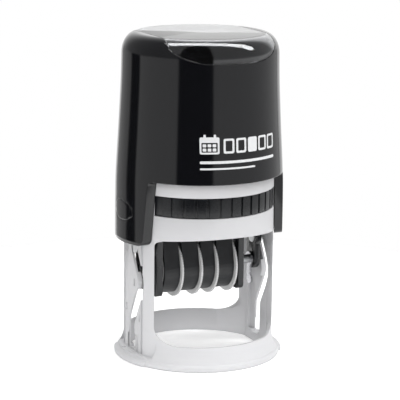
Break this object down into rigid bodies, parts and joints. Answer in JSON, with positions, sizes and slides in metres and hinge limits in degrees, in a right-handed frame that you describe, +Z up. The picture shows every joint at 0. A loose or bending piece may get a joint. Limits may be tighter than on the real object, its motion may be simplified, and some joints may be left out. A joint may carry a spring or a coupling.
{
  "type": "rotary date stamp",
  "caption": "Self-inking round date stamp: handle slides down a windowed frame, turning a round text plate with date bands from the pad onto the paper.",
  "frame": {"origin": "centre of the base ring on the table", "axes": "+Z up along the press direction, -Y towards the front where the date wheels show, +X to the right seen from the front"},
  "size_m": [0.0584, 0.0574, 0.1119],
  "materials": {
    "frame_white": "light cool-grey ABS, fine satin texture",
    "satin_black": "black moulded plastic, satin",
    "gloss_black": "polished black ABS",
    "clear_cap": "clear moulded polystyrene",
    "grey_card": "smooth grey index card",
    "pad_felt": "ink-soaked felt",
    "steel": "zinc-plated steel",
    "spring_steel": "spring steel wire and strip",
    "plate_grey": "dark grey plastic",
    "die_rubber": "red-brown laser-cut rubber",
    "wheel_grey": "light grey nylon",
    "band_rubber": "black rubber band"
  },
  "bodies": {
    "frame": {"base_frame": "frame_white", "ink_cassette": "satin_black", "ink_pad": "pad_felt"},
    "handle": {"handle_shell": "gloss_black", "index_card": "grey_card", "drive_yoke": "steel", "yoke_screws": "steel", "axle_stubs": "steel", "return_spring": "spring_steel"},
    "index_window": {"index_window": "clear_cap"},
    "lock_left": {"lock_button_left": "gloss_black"},
    "lock_right": {"lock_button_right": "gloss_black"},
    "carrier": {"die_carrier": "satin_black", "cam_pins": "steel", "text_plate": "plate_grey", "text_die": "die_rubber", "band_bridge": "satin_black", "band_axle": "steel", "axle_clip": "spring_steel", "spacer_bush": "satin_black", "date_band_1": "band_rubber", "date_band_2": "band_rubber", "date_band_3": "band_rubber", "date_band_4": "band_rubber"},
    "wheel_1": {"thumb_wheel_1": "wheel_grey"},
    "wheel_2": {"thumb_wheel_2": "wheel_grey"},
    "wheel_3": {"thumb_wheel_3": "wheel_grey"},
    "wheel_4": {"thumb_wheel_4": "wheel_grey"}
  },
  "joints": [
    {"name": "handle_press", "type": "slide", "parent": "frame", "child": "handle", "axis": [0, 0, -1], "range_m": [0, 0.0385], "stiffness_N_per_m": 300, "springref_m": -0.02, "deforming": ["return_spring"]},
    {"name": "carrier_flip", "type": "hinge", "parent": "handle", "child": "carrier", "pos_m": [0, 0, 0.0455], "axis": [-1, 0, 0], "range_deg": [0, 180]},
    {"name": "index_window_lift", "type": "slide", "parent": "handle", "child": "index_window", "axis": [0, 0, 1], "range_m": [0, 0.015]},
    {"name": "lock_left_push", "type": "slide", "parent": "handle", "child": "lock_left", "axis": [1, 0, 0], "range_m": [0, 0.0007], "stiffness_N_per_m": 800},
    {"name": "lock_right_push", "type": "slide", "parent": "handle", "child": "lock_right", "axis": [-1, 0, 0], "range_m": [0, 0.0007], "stiffness_N_per_m": 800},
    {"name": "thumb_wheel_1_turn", "type": "hinge", "parent": "carrier", "child": "wheel_1", "pos_m": [0, 0, 0.031], "axis": [1, 0, 0], "continuous": true},
    {"name": "thumb_wheel_2_turn", "type": "hinge", "parent": "carrier", "child": "wheel_2", "pos_m": [0, 0, 0.031], "axis": [1, 0, 0], "continuous": true},
    {"name": "thumb_wheel_3_turn", "type": "hinge", "parent": "carrier", "child": "wheel_3", "pos_m": [0, 0, 0.031], "axis": [1, 0, 0], "continuous": true},
    {"name": "thumb_wheel_4_turn", "type": "hinge", "parent": "carrier", "child": "wheel_4", "pos_m": [0, 0, 0.031], "axis": [1, 0, 0], "continuous": true}
  ],
  "couplings": [
    {"joint": "carrier_flip", "follows": "handle_press", "rad_per_m": 81.6}
  ]
}
